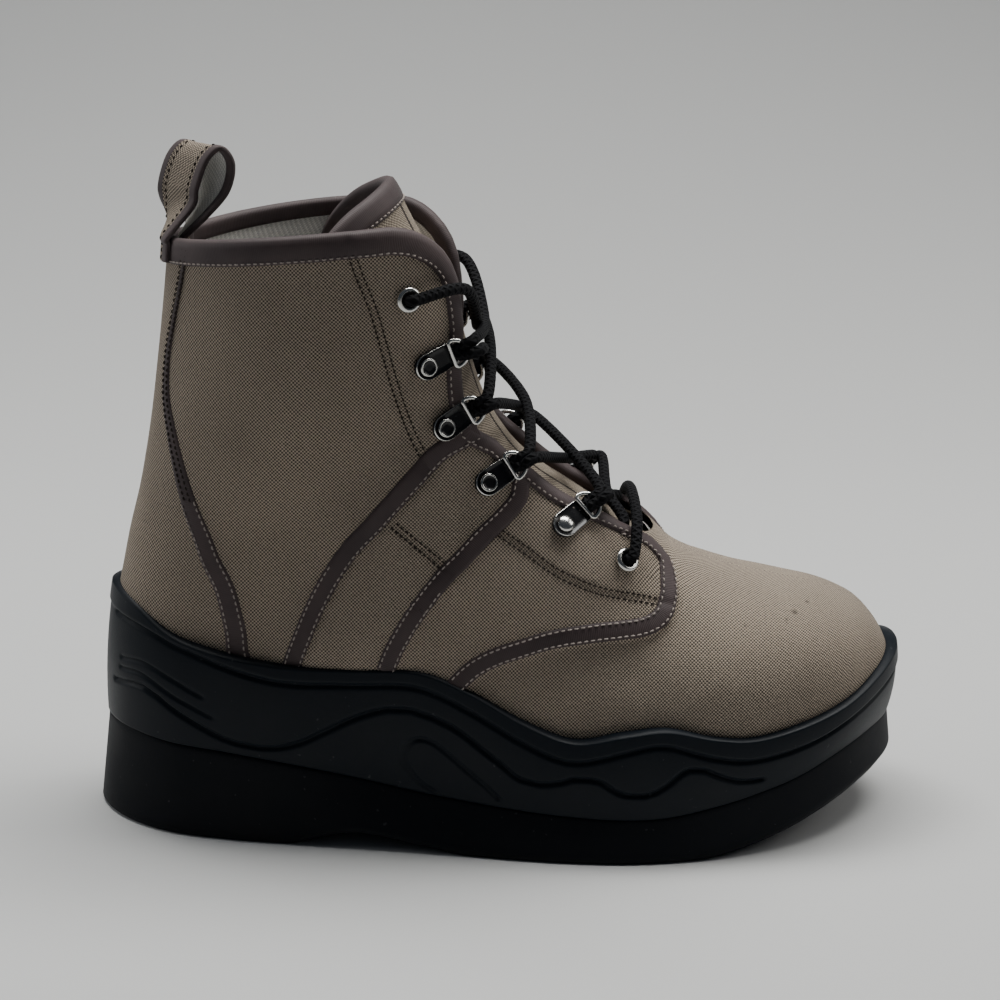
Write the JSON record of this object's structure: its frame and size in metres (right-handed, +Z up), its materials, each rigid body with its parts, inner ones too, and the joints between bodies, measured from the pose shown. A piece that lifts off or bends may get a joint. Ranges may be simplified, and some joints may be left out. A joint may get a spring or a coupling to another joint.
{
  "type": "wading boot",
  "caption": "Lace-up ankle boot for wading, right foot: woven upper with bound panels, D-ring lacing, foam midsole cup and thick rubber sole.",
  "frame": {"origin": "on the floor under the middle of the boot's bounding box", "axes": "+X towards the toe, +Y towards the inner side of the foot, +Z up"},
  "size_m": [0.325, 0.124, 0.2668],
  "materials": {
    "taupe_weave": "coarse plain weave nylon",
    "tongue_weave": "ribbed weave",
    "mauve_binding": "smooth folded tape",
    "black_foam": "satin moulded foam",
    "black_rubber": "matte moulded rubber",
    "footbed_cloth": "felted cloth",
    "black_plate": "black enamel",
    "bright_wire": "bright nickel",
    "black_braid": "round braid"
  },
  "bodies": {
    "root": {"outsole": "black_rubber", "midsole": "black_foam", "insole": "footbed_cloth", "upper": "taupe_weave", "tongue": "tongue_weave", "collar_binding": "mauve_binding", "pull_loop": "taupe_weave", "lace_bar": "black_braid", "quarter_outer": "taupe_weave", "strap_outer": "taupe_weave", "counter_band_outer": "mauve_binding", "ring_plate_outer_1": "black_plate", "d_ring_outer_1": "bright_wire", "ring_plate_outer_2": "black_plate", "d_ring_outer_2": "bright_wire", "ring_plate_outer_3": "black_plate", "d_ring_outer_3": "bright_wire", "ring_plate_outer_4": "black_plate", "d_ring_outer_4": "bright_wire", "eyelet_outer_0": "bright_wire", "eyelet_outer_5": "bright_wire", "quarter_inner": "taupe_weave", "strap_inner": "taupe_weave", "counter_band_inner": "mauve_binding", "ring_plate_inner_1": "black_plate", "d_ring_inner_1": "bright_wire", "ring_plate_inner_2": "black_plate", "d_ring_inner_2": "bright_wire", "ring_plate_inner_3": "black_plate", "d_ring_inner_3": "bright_wire", "ring_plate_inner_4": "black_plate", "d_ring_inner_4": "bright_wire", "eyelet_inner_0": "bright_wire", "eyelet_inner_5": "bright_wire", "lace_crossing_1": "black_braid", "lace_crossing_2": "black_braid", "lace_crossing_3": "black_braid", "lace_crossing_4": "black_braid", "lace_crossing_5": "black_braid"}
  },
  "joints": []
}
